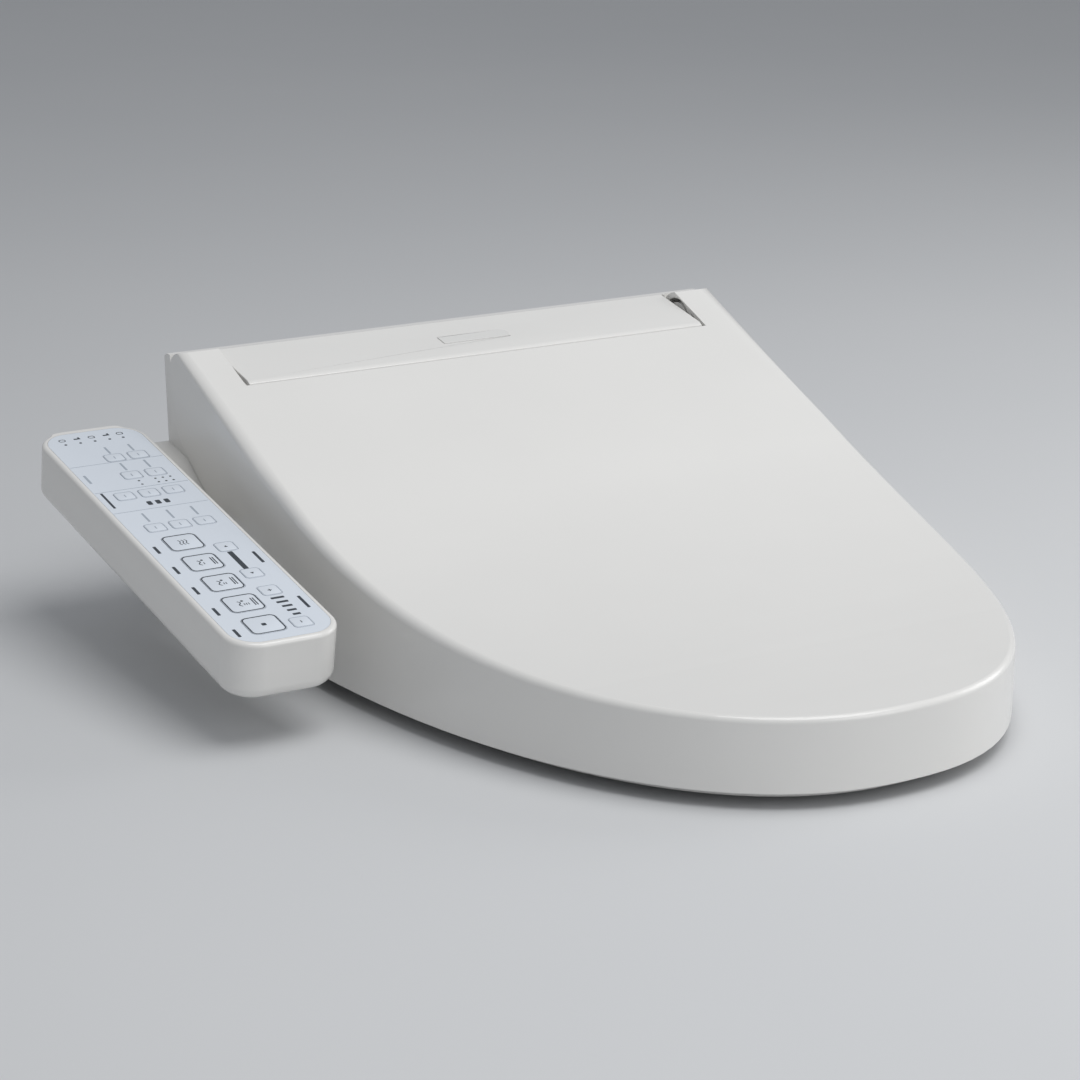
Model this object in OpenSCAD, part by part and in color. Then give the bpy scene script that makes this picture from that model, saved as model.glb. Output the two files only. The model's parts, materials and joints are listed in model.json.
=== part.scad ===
/* [Overall] */
// Widest part of the lid
lid_w = 405; // [350:1:490]
// Distance from the mounting bolts to the front tip of the lid
lid_reach = 470; // [400:1:570]
// Distance from the mounting bolts to the rear of the case
case_back = 60; // [52:1:75]
// Height of the rear of the case above the bowl rim
case_h = 164.5; // [140:0.5:198]
// Distance from the mounting bolts to the front face of the case
case_front = 92; // [85:1:112]

/* [Lid] */
// Height of the lid's lower edge above the bowl rim
lid_lift = 9; // [8:0.5:11]
// Thickness of the lid at its front tip
lid_nose = 44; // [40:1:54]
// Length of the straight slope behind the curved front
lid_slope_len = 200; // [165:1:245]
// Height lost along the curved front
lid_drop = 46; // [38:1:56]
// Wall of the lid
lid_wall = 3; // [2.4:0.1:3.6]
// Squareness of the lid's plan outline
lid_power = 2.26; // [2:0.02:2.7]

/* [Hinges] */
// Distance from the rear of the case to the hinge axis
axis_inset = 28; // [26:0.5:33]
// Depth of the hinge axis below the top of the case
axis_drop = 16; // [14:0.5:18]
// Radius of the lid's ears
ear_r = 20; // [18:0.5:22]
// Radius of the hinge pins
pin_r = 5; // [4:0.25:6]
// Half width of the case between the ears
core_half = 173; // [144:0.5:178]

/* [Seat] */
// Thickness of the seat ring
seat_h = 24; // [20:0.5:28]
// Length of the seat opening
seat_hole_len = 270; // [225:1:324]
// Width of the seat opening
seat_hole_w = 212; // [177:1:254]
// Thickness of the seat's bumpers
bumper_h = 4; // [3.5:0.1:4.8]

/* [Mounting] */
// Distance between the two bolt holes
bolt_spacing = 140; // [120:1:168]
// Radius of the bolt holes
bolt_r = 4.5; // [3.5:0.1:5.5]
// Thickness of the mounting plate
plate_t = 5; // [4:0.25:6]

/* [Control arm] */
// Width of the control arm
arm_w = 71; // [64:0.5:80]
// Length of the control arm along its slope
arm_len = 303; // [300:1:364]
// Depth of the control arm
arm_h = 37; // [31:0.5:44]
// Slope of the control arm
arm_tilt = 10.3; // [8.6:0.1:12]
// Height of the arm's top at its front end
arm_front_z = 66; // [58:0.5:79]
// Gap between the arm and the side of the lid
arm_gap = 20; // [17:0.5:24]
// Corner radius of the arm's outline
arm_corner = 20; // [16:0.5:24]
// Width of a large key
key_w = 21.8; // [18:0.1:26.2]
// Travel of a key
key_travel = 0.8; // [0.6:0.05:1]

/* [Washing and drying] */
// Radius of the wand
wand_r = 7; // [5.8:0.1:8.4]
// Distance the wand comes out
wand_travel = 90; // [75:1:100]
// Slope of the wand
wand_tilt = 24; // [20:0.5:27]
// Radius of the fan
fan_r = 24; // [20:0.5:28]
// Radius of the water inlet's thread
inlet_r = 10.5; // [8.75:0.25:12.5]

/* [Hidden] */
$fn = 48;
gap = 0.5;
fit = 0.05;
wide = 1000;
wall = 3;
split_z = 44;
tray_z = 6;
case_half = lid_w / 2;
axis_y = case_back - axis_inset;
axis_z = case_h - axis_drop;
pocket_r = ear_r + 0.8;
screw_r = 2;

// The case between the ears, its cheeks beside the lid, and the slots that the seat's arms move in
slot_w = 14;
cheek_x = core_half + slot_w;
cheek_end = case_half - 0.5;
seam_front = -case_front - 24;
panel_front = axis_y - 36;
panel_back = case_back - 12.1;
panel_t = 3;

// Lid surface: a straight slope at the back that runs out to a level front tip
slope_y = case_back - lid_slope_len;
rear_slope = (axis_z + ear_r - 1.5 - lid_lift - lid_nose - lid_drop) / (axis_y - slope_y);
function lid_top(y) =
    let (t = max((y + lid_reach) / (slope_y + lid_reach), 0))
    lid_lift + lid_nose + (t >= 1 ? lid_drop + (y - slope_y) * rear_slope : lid_drop * pow(t, 2.6));

// Top of the panel between the ears: a little proud of the lid at the front, level with the strip at the back
panel_proud = 1.4;
rear_strip = 12;
function panel_top(y) =
    let (front_z = lid_top(panel_front) + panel_proud)
    front_z + (case_h - front_z) * (y - panel_front) / (case_back - rear_strip - panel_front);

// Rounded upper corner of the case's rear
rear_corner = [[case_back, case_h - 6], [case_back - 2, case_h - 2], [case_back - 6, case_h]];

// Plan outline of the lid, taken in by a margin: straight sides and a rounded front
widest_y = -lid_reach / 6;
function corner_point(a, b, angle, power) = [a * pow(cos(angle), 2 / power), b * pow(sin(angle), 2 / power)];
function plan(inset, rear) = let (
    front = [for (i = [0:3:90])
        corner_point(case_half - inset, lid_reach + widest_y - inset, i, lid_power)]
) concat(
    [[case_half - inset, rear]],
    [for (p = front) [p[0], widest_y - p[1]]],
    [for (i = [len(front) - 2:-1:0]) [-front[i][0], widest_y - front[i][1]]],
    [[inset - case_half, rear]]);

module plan_block(inset, rear, z0, z1) {
    translate([0, 0, z0])
        linear_extrude(z1 - z0)
            polygon(plan(inset, rear));
}

// A solid from x0 to x1 whose outline is drawn in y and z
module across(x0, x1) {
    translate([x0, 0, 0])
        rotate([90, 0, 90])
            linear_extrude(x1 - x0)
                children();
}

module box(low, high) {
    translate(low)
        cube(high - low);
}

module rod_x(r, x0, x1, y = axis_y, z = axis_z) {
    translate([x0, y, z])
        rotate([0, 90, 0])
            cylinder(r = r, h = x1 - x0);
}

module rod_y(r, x, z, y0, y1) {
    translate([x, y0, z])
        rotate([-90, 0, 0])
            cylinder(r = r, h = y1 - y0);
}

module rod_z(r, x, y, z0, z1) {
    translate([x, y, z0])
        cylinder(r = r, h = z1 - z0);
}

module both_sides() {
    children();
    mirror([1, 0, 0])
        children();
}

module rounded_plate(w, l, r, low, high) {
    translate([0, 0, low])
        linear_extrude(high - low) {
            for (sx = [-1, 1], sy = [-1, 1])
                translate([sx * (w / 2 - r), sy * (l / 2 - r)])
                    circle(r);
            square([w - 2 * r, l], center = true);
            square([w, l - 2 * r], center = true);
        }
}

// Outline in y and z of the space under the lid's surface
module under_lid(drop, y0, y1, floor_z) {
    steps = 16;
    curve = [for (i = [0:1:steps]) -lid_reach - 1 + (slope_y + lid_reach + 1) * i / steps];
    polygon(concat(
        [[y0, floor_z]],
        [for (y = concat(y0, [for (c = curve) if (c > y0 + 1 && c < y1 - 1) c], y1)) [y, lid_top(y) - drop]],
        [[y1, floor_z]]));
}

// Outline in y and z of the case's side: round the ear, then down and forward to the rim
module case_side(shift) {
    polygon(concat(
        [[case_back, 0]],
        rear_corner,
        [for (a = [50:-10:-40])
            [axis_y + (pocket_r - shift) * cos(a), axis_z + (pocket_r - shift) * sin(a)]],
        [[axis_y + 13.5 - shift, axis_z - 23.9],
         [axis_y + 9.2 - shift, axis_z - 32.7 + shift / 2],
         [axis_y + 3.1 - shift / 2, axis_z - 39.9 + shift],
         [axis_y - 5 - shift / 2, axis_z - 45.5 + shift],
         [axis_y - 27 - shift / 2, axis_z - 60 + shift],
         [axis_y - 47 - shift / 2, axis_z - 70 + shift],
         [seam_front + 34 - shift, split_z + shift],
         [seam_front - shift, lid_lift],
         [seam_front - shift, 0]]));
}

// Outline in y and z of the case between the ears, with its top set down under the lid and the panel
module core_side(inset, floor_z) {
    top = case_h - inset;
    back = case_back - inset;
    step = case_back - rear_strip - inset / 3;
    front = -case_front + inset;
    polygon([
        [back, floor_z], [back, top - 6], [back - 2, top - 2], [back - 6, top], [step, top],
        [step, panel_top(step) - panel_t - inset],
        [panel_front + inset / 2, panel_top(panel_front) - panel_t - inset],
        [panel_front + inset / 2, lid_top(panel_front) - lid_wall - 9 - inset],
        [front + 12, lid_top(front + 12) - lid_wall - 9 - inset],
        [front, lid_top(front) - lid_wall - 18 - inset],
        [front, floor_z]]);
}

// ---------- Case ----------
button_y = 20;
button_z = 26;
button_r = 9;
inlet_x = -core_half + 27;
inlet_y = 19;
drain_x = core_half - 27;
drain_y = inlet_y;
drain_r = 7;
gland_x = -core_half + 21;
gland_z = 27;
gland_r = 6.5;
plate_w = bolt_spacing + 50;
plate_front = -34;
case_screws_at = [for (x = [-1, 1], y = [case_back - 12, -case_front + 12]) [x * (core_half - 8), y]];
feet_at = [for (x = [-1, 1], y = [case_back - 14, -case_front + 16]) [x * (plate_w / 2 + 24), y]];

module base_case() {
    color("gainsboro")
        difference() {
            union() {
                box([-core_half + 0.5, -case_front, tray_z], [core_half - 0.5, case_back, split_z]);
                both_sides()
                    intersection() {
                        across(core_half - 0.5, cheek_end)
                            case_side(0);
                        box([core_half - 1, -wide, tray_z], [case_half, wide, split_z]);
                    }
            }
            // Inside of the tray, with solid posts left for the screws
            difference() {
                box([-core_half + 3.5, -case_front + wall, tray_z + 8],
                    [core_half - 3.5, case_back - wall, split_z + 1]);
                for (p = case_screws_at)
                    rod_z(screw_r + 3, p[0], p[1], 0, split_z + 2);
                rod_z(inlet_r + 10, inlet_x, inlet_y, 0, tray_z + 14);
            }
            both_sides()
                intersection() {
                    across(core_half + 3, cheek_end - wall)
                        translate([8, 0])
                            case_side(0);
                    box([core_half, -wide, tray_z + 3], [case_half, case_back - wall, split_z + 1]);
                }
            // Recess that the mounting plate slides out of, and room over the bolt heads
            box([-plate_w / 2 - gap, plate_front - gap, -1],
                [plate_w / 2 + gap, case_back + 1, plate_t + 1.5]);
            both_sides()
                box([bolt_spacing / 2 - 11, -14, 0], [bolt_spacing / 2 + 11, case_back + 1, tray_z + 5.5]);
            // Ways out for the wand and for warm air
            wand_frame()
                rod_y(wand_r + 3, 0, 0, -40, 30);
            box([duct_x - duct_w / 2, -case_front - 1, duct_z0],
                [duct_x + duct_w / 2, -case_front + wall + 1, duct_z1]);
            // Water inlet, drain and cord gland
            rod_z(inlet_r + 7, inlet_x, inlet_y, -1, tray_z + 10);
            rod_z(inlet_r / 2 + 0.2, inlet_x, inlet_y, 0, split_z);
            rod_z(drain_r + 0.2, drain_x, drain_y, 0, tray_z + 9);
            rod_y(gland_r + 0.2, gland_x, gland_z, case_back - wall - 1, case_back + 1);
            // Release button
            rod_x(button_r + 0.3, cheek_end - wall - 1, cheek_end + 1, button_y, button_z);
            for (p = case_screws_at)
                rod_z(screw_r + 0.1, p[0], p[1], 0, split_z + 1);
        }
}

arm_x = -case_half - arm_gap - arm_w / 2;
arm_front_y = case_back - arm_len * cos(arm_tilt);
arm_rear_z = arm_front_z + arm_len * sin(arm_tilt);
web_drop = 13;
web_foot = 4;
web_seam_gap = 1;
// Web that carries the arm: under the seam of the case's side, and between two lines along the arm's slope
module web_block(inset) {
    x0 = arm_x + arm_w / 2 + 0.3 - inset;
    x1 = -cheek_x - 4;
    fall = (case_back - seam_front) * tan(arm_tilt);
    top = arm_rear_z - web_drop - inset;
    foot = arm_rear_z - arm_h + web_foot + inset;
    intersection() {
        across(x0, x1)
            case_side(-web_seam_gap - inset);
        across(x0, x1)
            polygon([
                [case_back - inset, top], [case_back - inset, foot],
                [seam_front, foot - fall], [seam_front, top - fall]]);
    }
}

module top_cover() {
    color("whitesmoke")
        difference() {
            union() {
                across(-core_half + 0.5, core_half - 0.5)
                    core_side(0, split_z);
                both_sides() {
                    intersection() {
                        across(cheek_x, cheek_end)
                            case_side(0);
                        box([cheek_x, -wide, split_z], [case_half, wide, case_h]);
                    }
                    // Rear wall behind the ears
                    across(core_half - 1, cheek_x + 1)
                        polygon(concat(
                            [[case_back - 15, split_z], [case_back, split_z]],
                            rear_corner,
                            [[case_back - 15, case_h]]));
                }
                web_block(0);
            }
            // Inside of the case, with posts left for the screws and the pins
            difference() {
                across(-core_half + 4, core_half - 4)
                    core_side(wall, split_z - 1);
                for (p = case_screws_at)
                    rod_z(screw_r + 3, p[0], p[1], 0, split_z + 8);
                both_sides()
                    rod_x(pin_r + 4, core_half - 12, core_half);
            }
            both_sides() {
                box([cheek_x + wall, -case_front + 40, split_z - 1],
                    [cheek_end - wall, case_back - wall, axis_z - 64]);
                rod_x(pocket_r, core_half - 0.5, case_half + 1);
                // Room for the lid's rear edge when it stands open
                box([core_half - 0.5, axis_y, axis_z + pocket_r * sin(35)],
                    [case_half + 1, axis_y + pocket_r * cos(35) + 0.4, case_h + 1]);
                rod_x(pin_r + fit, core_half - 13, core_half + 1);
            }
            web_block(wall);
            for (p = case_screws_at)
                rod_z(screw_r + 0.1, p[0], p[1], split_z - 1, split_z + 7);
        }
}

// The panel set into the top of the case, level with the lid
badge_w = 50;
badge_l = 10;
badge_x = 5;
badge_y = case_back - 40;
module badge_block(grow, low, high) {
    translate([badge_x, badge_y, panel_top(badge_y)])
        rotate([atan(panel_top(1) - panel_top(0)), 0, 0])
            box([-badge_w / 2 - grow, -badge_l / 2 - grow, low],
                [badge_w / 2 + grow, badge_l / 2 + grow, high]);
}

module top_panel() {
    color("white")
        difference() {
            across(-core_half + 1.5, core_half - 1.5)
                polygon([
                    [panel_front, panel_top(panel_front) - panel_t + 0.2],
                    [panel_front, panel_top(panel_front) - 1.2],
                    [panel_front + 3, panel_top(panel_front + 3)],
                    [panel_back, panel_top(panel_back)],
                    [panel_back, panel_top(panel_back) - panel_t + 0.2]]);
            badge_block(0.2, -1.2, 2);
        }
}

module badge_plate() {
    color("silver")
        badge_block(0, -1, 0.3);
}

module base_feet() {
    color("dimgray")
        for (p = feet_at)
            rod_z(9, p[0], p[1], 0, tray_z);
}

module case_screws() {
    color("silver")
        for (p = case_screws_at) {
            rod_z(screw_r, p[0], p[1], tray_z - 0.5, split_z + 6);
            rod_z(screw_r + 2, p[0], p[1], tray_z - 3, tray_z - 0.1);
        }
}

module mounting_plate() {
    color("dimgray")
        difference() {
            union() {
                box([-plate_w / 2, plate_front, 0], [plate_w / 2, case_back - 3, plate_t]);
                // Stops that the case's recess closes on
                both_sides()
                    box([20, plate_front, plate_t], [36, plate_front + 20, plate_t + 1.2]);
            }
            both_sides()
                rod_z(bolt_r, bolt_spacing / 2, 0, -1, plate_t + 1);
            box([-30, 8, -1], [30, case_back - 16, plate_t + 1]);
        }
}

module release_button() {
    color("silver") {
        rod_x(button_r, cheek_end - wall - 1, cheek_end, button_y, button_z);
        rod_x(button_r + 2, cheek_end - wall - 3, cheek_end - wall - 0.4, button_y, button_z);
    }
}

// ---------- Lid ----------
lid_ear_x = core_half + slot_w - 1.5;
lid_tail = 16;
module lid_shell() {
    color("white")
        difference() {
            union() {
                difference() {
                    intersection() {
                        plan_block(0, axis_y + lid_tail, lid_lift, case_h + 20);
                        across(-case_half, case_half)
                            under_lid(0, -lid_reach, axis_y + lid_tail, lid_lift - 1);
                    }
                    intersection() {
                        plan_block(lid_wall, axis_y + lid_tail + 1, lid_lift - 2, case_h + 20);
                        across(-case_half, case_half)
                            under_lid(lid_wall, -lid_reach, axis_y + lid_tail + 1, lid_lift - 3);
                    }
                    // Behind the axis the sides stay below it, so that the ears alone are round there
                    box([-case_half - 1, axis_y, axis_z], [case_half + 1, case_back, case_h + 20]);
                    both_sides()
                        across(core_half - 5, case_half + 1)
                            case_side(0.8);
                }
                both_sides()
                    intersection() {
                        rod_x(ear_r, core_half + 1, case_half);
                        across(core_half, case_half + 1)
                            under_lid(0, axis_y - ear_r - 1, axis_y + ear_r + 1, axis_z - ear_r - 1);
                    }
            }
            // Opening for the panel between the ears
            box([-core_half - 1, panel_front - 0.8, lid_lift], [core_half + 1, case_back, case_h + 20]);
            both_sides() {
                // Room for the seat's hinge inside the ear
                rod_x(ear_r - 3.8, core_half, lid_ear_x);
                box([core_half, axis_y - ear_r - 1, axis_z - ear_r - 1],
                    [lid_ear_x, axis_y + ear_r + 1, axis_z + 5]);
                rod_x(pin_r + fit, core_half, case_half - 4);
            }
        }
}

lid_bumpers_at = [[110, -190], [80, -400]];
module lid_bumpers() {
    color("dimgray")
        both_sides()
            for (p = lid_bumpers_at)
                rod_z(6, p[0], p[1], seat_line(p[1] + 6) + seat_h + 0.2, lid_top(p[1] - 6) - lid_wall - 0.1);
}

module hinge_pins() {
    color("silver")
        both_sides()
            rod_x(pin_r, core_half - 12, case_half - 4.5);
}

damper_r = panel_top(axis_y) - panel_t - wall - axis_z - 0.4;
module soft_close_dampers() {
    color("dimgray")
        both_sides()
            rod_x(damper_r, core_half - 54, core_half - 12.3);
}

// ---------- Seat ----------
seat_inset = 9;
seat_rear = -case_front - 5.5;
seat_deck = 23;
seat_rise = 42;
seat_rise_start = 82;
seat_rise_len = 80;
hole_rear = seat_rear - seat_deck;
hole_front = hole_rear - seat_hole_len;
// Underside of the seat: flat over the rim, then raised at the back so that the wand passes under it
function seat_line(y) =
    let (t = min(max((y - hole_rear + seat_rise_start) / seat_rise_len, 0), 1))
    bumper_h + seat_rise * (3 * t * t - 2 * t * t * t);

module seat_band(inset, low, high) {
    steps = 10;
    rise = [for (i = [0:1:steps]) hole_rear - seat_rise_start + seat_rise_len * i / steps];
    ys = concat([-lid_reach - 1], rise, [seat_rear - inset]);
    polygon(concat(
        [for (y = ys) [y, seat_line(y) + low]],
        [for (i = [len(ys) - 1:-1:0]) [ys[i], seat_line(ys[i]) + high]]));
}

module seat_hole(grow) {
    middle = (hole_front + hole_rear) / 2;
    points = [for (i = [0:5:90]) corner_point(seat_hole_w / 2 + grow, seat_hole_len / 2 + grow, i, 2.2)];
    last = len(points) - 1;
    translate([0, middle, 0])
        linear_extrude(case_h)
            polygon(concat(
                points,
                [for (i = [last - 1:-1:0]) [-points[i][0], points[i][1]]],
                [for (i = [1:1:last]) [-points[i][0], -points[i][1]]],
                [for (i = [last - 1:-1:1]) [points[i][0], -points[i][1]]]));
}

module seat_slice(inset, low, high) {
    difference() {
        intersection() {
            plan_block(seat_inset + inset, 0, 0, case_h);
            across(-case_half, case_half)
                seat_band(inset, low, high);
        }
        seat_hole(inset);
    }
}

seat_base_h = 8;
seat_split = seat_base_h + 0.3;
module seat_top() {
    color("snow")
        difference() {
            union() {
                seat_slice(0, seat_split, seat_h);
                both_sides() {
                    across(core_half + 1.5, lid_ear_x - 1)
                        polygon([
                            [seat_rear - 22, seat_line(seat_rear) + seat_split + 1],
                            [seat_rear, seat_line(seat_rear) + seat_split + 1],
                            [axis_y + 7, axis_z - 9], [axis_y - 9, axis_z + 8],
                            [seat_rear - 22, seat_line(seat_rear) + seat_h]]);
                    rod_x(pin_r + 8, core_half + 1.5, lid_ear_x - 1);
                }
            }
            seat_slice(11, seat_split - 1, seat_split + 2);
            both_sides()
                rod_x(pin_r + fit, core_half, lid_ear_x);
        }
}

module seat_base() {
    color("gainsboro")
        seat_slice(0.4, 0, seat_base_h);
}

module seat_heater() {
    color("orange")
        seat_slice(12, seat_split + 0.2, seat_split + 1.2);
}

seat_bumpers_at = [[150, -235], [72, -414]];
module seat_bumpers() {
    color("dimgray")
        both_sides()
            for (p = seat_bumpers_at)
                translate([p[0], p[1], 0])
                    rounded_plate(14, 26, 5, 0, bumper_h);
}

// ---------- Water ----------
tank_low = [-core_half + 13, -66, tray_z + 8.5];
tank_high = [-core_half + 103, inlet_y - 22, 76];
tank_mid_y = (tank_low[1] + tank_high[1]) / 2;
heater_r = 6;
module water_tank() {
    color("lightsteelblue")
        difference() {
            box(tank_low, tank_high);
            box(tank_low + [2.5, 2.5, 2.5], tank_high - [2.5, 2.5, 2.5]);
            rod_z(4, tank_low[0] + 18, tank_mid_y, tank_high[2] - 4, tank_high[2] + 1);
            rod_x(heater_r + 0.1, tank_high[0] - 4, tank_high[0] + 1, tank_mid_y, 36);
        }
}

module tank_heater() {
    color("peru") {
        rod_x(heater_r, tank_low[0] + 8, tank_high[0] + 1, tank_mid_y, 36);
        rod_x(heater_r + 5, tank_high[0] + 0.2, tank_high[0] + 4, tank_mid_y, 36);
    }
}

module inlet_valve() {
    color("dimgray") {
        box([inlet_x - 14, inlet_y - 12, tray_z + 24], [inlet_x + 14, inlet_y + 14, tray_z + 44]);
        rod_z(9, inlet_x, inlet_y, tray_z + 44, tray_z + 66);
    }
}

module inlet_fitting() {
    color("khaki")
        difference() {
            union() {
                rod_z(inlet_r, inlet_x, inlet_y, 2, tray_z + 9.8);
                rod_z(inlet_r / 2, inlet_x, inlet_y, 2, tray_z + 23.5);
            }
            rod_z(3, inlet_x, inlet_y, 1, tray_z + 24);
        }
}

module drain_plug() {
    color("silver")
        difference() {
            rod_z(drain_r, drain_x, drain_y, tray_z - 1, tray_z + 12);
            box([drain_x - 1, drain_y - 8, tray_z - 2], [drain_x + 1, drain_y + 8, tray_z + 0.5]);
        }
}

module cord_gland() {
    color("dimgray")
        difference() {
            union() {
                rod_y(gland_r, gland_x, gland_z, case_back - 8, case_back + 0.5);
                rod_y(gland_r + 2.5, gland_x, gland_z, case_back - 7, case_back - wall - 0.2);
            }
            rod_y(3.6, gland_x, gland_z, case_back - 9, case_back + 2);
        }
}

// ---------- Wand ----------
wand_len = wand_travel + 22;
wand_z = 31;
tip_len = 20;
roller_r = 8;
roller_s = tip_len + 6;
strip_h = 2.5;
// Frame with y along the wand towards the back and its zero on the front of the case
module wand_frame() {
    translate([0, -case_front, wand_z])
        rotate([wand_tilt, 0, 0])
            children();
}

module wand() {
    color("lightgray")
        wand_frame() {
            rod_y(wand_r, 0, 0, tip_len + 0.2, wand_len);
            box([-2, tip_len + 2, wand_r - 1], [2, wand_len, wand_r + strip_h]);
        }
}

module wand_tip() {
    color("white")
        wand_frame()
            difference() {
                rod_y(wand_r, 0, 0, 2.2, tip_len);
                for (s = [7, 11])
                    rod_z(0.9, 0, s, wand_r - 3, wand_r + 1);
            }
}

module wand_gate() {
    color("whitesmoke")
        wand_frame()
            rod_y(wand_r + 2.6, 0, 0, 0, 2);
}

guide_half = wand_r + 3.5;
module wand_guide() {
    color("gainsboro")
        wand_frame()
            difference() {
                box([-guide_half, 9, -guide_half], [guide_half, wand_len + 4, guide_half]);
                rod_y(wand_r + 0.4, 0, 0, 0, wand_len + 1);
                box([-2.6, 0, 0], [2.6, wand_len + 1, guide_half + 1]);
                box([-6, roller_s - roller_r - 2, wand_r], [6, roller_s + roller_r + 2, guide_half + 1]);
                // Front end trimmed to stay behind the case's front wall
                rotate([-wand_tilt, 0, 0])
                    box([-wide, -wide, -wide], [wide, 14, wide]);
                rotate([-wand_tilt, 0, 0])
                    box([-wide, -wide, -wide], [wide, wide, tray_z + 8.5 - wand_z]);
            }
}

roller_n = wand_r + strip_h + roller_r + fit;
module wand_roller() {
    color("dimgray")
        wand_frame()
            difference() {
                rod_x(roller_r, -3, 3, roller_s, roller_n);
                rod_x(1.55, -4, 4, roller_s, roller_n);
            }
}

module wand_motor() {
    color("silver")
        wand_frame() {
            rod_x(11, 14, 40, roller_s, roller_n);
            rod_x(1.5, -5, 15, roller_s, roller_n);
        }
}

// ---------- Dryer ----------
duct_x = 88;
duct_w = 44;
duct_z0 = 18;
duct_z1 = 38;
fan_x0 = duct_x - 14;
fan_x1 = duct_x + 14;
fan_y = -10;
fan_z = duct_z0 + fan_r + 6;
module dryer_housing() {
    color("gainsboro")
        difference() {
            rod_x(fan_r + 5, fan_x0, fan_x1, fan_y, fan_z);
            rod_x(fan_r + 2, fan_x0 + 2, fan_x1 - 2, fan_y, fan_z);
            rod_x(fan_r / 2, fan_x0 - 1, fan_x0 + 3, fan_y, fan_z);
            rod_x(3.2, fan_x1 - 3, fan_x1 + 1, fan_y, fan_z);
            box([fan_x0 + 2, fan_y - fan_r - 6, duct_z0 + 2], [fan_x1 - 2, fan_y - fan_r + 4, duct_z1 - 2]);
        }
}

module dryer_impeller() {
    blades = 18;
    color("dimgray")
        difference() {
            union() {
                rod_x(fan_r, fan_x1 - 6, fan_x1 - 4, fan_y, fan_z);
                rod_x(5, fan_x0 + 6, fan_x1 - 4, fan_y, fan_z);
                for (i = [0:1:blades - 1])
                    translate([fan_x0 + 4, fan_y, fan_z])
                        rotate([i * 360 / blades, 0, 0])
                            translate([0, fan_r - 6, -0.6])
                                cube([fan_x1 - fan_x0 - 9, 5.5, 1.2]);
            }
            rod_x(2.05, fan_x0, fan_x1, fan_y, fan_z);
        }
}

module dryer_motor() {
    color("silver") {
        rod_x(14, fan_x1 + 0.3, fan_x1 + 24, fan_y, fan_z);
        rod_x(2, fan_x0 + 8, fan_x1 + 1, fan_y, fan_z);
    }
}

duct_back = fan_y - fan_r - 6.5;
module dryer_duct() {
    color("lightgray")
        difference() {
            box([duct_x - duct_w / 2 + 0.5, -case_front + wall + 0.5, duct_z0 + 0.5],
                [duct_x + duct_w / 2 - 0.5, duct_back, duct_z1 - 0.5]);
            box([duct_x - duct_w / 2 + 2.5, -case_front, duct_z0 + 2.5],
                [duct_x + duct_w / 2 - 2.5, duct_back - 2, duct_z1 - 2.5]);
            box([fan_x0 + 2, duct_back - 3, duct_z0 + 2.5], [fan_x1 - 2, duct_back + 1, duct_z1 - 2.5]);
        }
}

module dryer_flap() {
    color("whitesmoke") {
        box([duct_x - duct_w / 2 + 0.6, -case_front + 0.2, duct_z0 + 0.5],
            [duct_x + duct_w / 2 - 0.6, -case_front + 1.6, duct_z1 - 1.4]);
        rod_x(1, duct_x - duct_w / 2 + 0.6, duct_x + duct_w / 2 - 0.6, -case_front + 1.2, duct_z1 - 1.4);
    }
}

module main_board() {
    color("seagreen") {
        box([-66, 4, 92], [60, 50, 93.6]);
        box([-58, 14, 93.6], [-24, 40, 106]);
        box([-10, 12, 93.6], [12, 34, 99]);
        box([26, 10, 93.6], [50, 44, 104]);
    }
}

// ---------- Control arm ----------
arm_wall = 2.5;
arm_split = -16;
film_t = 0.8;
film_margin = 3.5;
roof_t = 3;
board_n = -roof_t - 4.4;
key_h = 0.6;
// Frame with y up the arm's slope from its front end and z square to its top
module arm_frame() {
    translate([arm_x, arm_front_y, arm_front_z])
        rotate([arm_tilt, 0, 0])
            children();
}

module arm_block(inset, low, high) {
    translate([0, arm_len / 2, 0])
        rounded_plate(arm_w - 2 * inset, arm_len - 2 * inset, arm_corner - inset, low, high);
}

// Keys: name, place across and along, width and length
small_w = key_w * 0.56;
main_x = -7.6;
side_x = main_x + key_w / 2 + small_w / 2 + 4.6;
row_pitch = small_w + 3.8;
row_x = 1;
large_keys = [22, 49.6, 77.4, 105, 133];
minus_s = 17.9;
plus_s = 59.5;
down_s = 83;
up_s = 119.7;
row_d_s = 156.7;
row_c_s = 203;
row_b_s = 230;
row_a_s = 257;
keys = concat(
    [for (s = large_keys) [main_x, s, key_w, key_w - 1.3, 4]],
    [for (s = [minus_s, plus_s, down_s, up_s]) [side_x, s, small_w, small_w - 0.3, 2.5]],
    [for (s = [row_a_s, row_b_s]) for (i = [0, 1])
        [row_x + i * row_pitch, s, small_w, small_w - 1.3, 2.2]],
    [for (s = [row_c_s, row_d_s]) for (i = [-1, 0, 1])
        [row_x + i * row_pitch, s, small_w, small_w - 1.3, 2.2]]);

module key_block(k, grow, low, high) {
    translate([k[0], k[1], 0])
        rounded_plate(k[2] + 2 * grow, k[3] + 2 * grow, k[4] + grow, low, high);
}

module key(i) {
    color("white")
        arm_frame() {
            key_block(keys[i], 0, -roof_t - 1, key_h);
            key_block(keys[i], 0.8, -roof_t - 1.2, -roof_t - 0.15);
            key_block(keys[i], -2, board_n + key_travel + 0.3, -roof_t - 1);
        }
}

// The arm's block cut off upright at the back
module cut_arm_block(inset, low, high) {
    intersection() {
        arm_frame()
            arm_block(inset, low, high);
        box([-wide, -wide, -wide], [wide, case_back - inset, wide]);
    }
}

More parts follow.
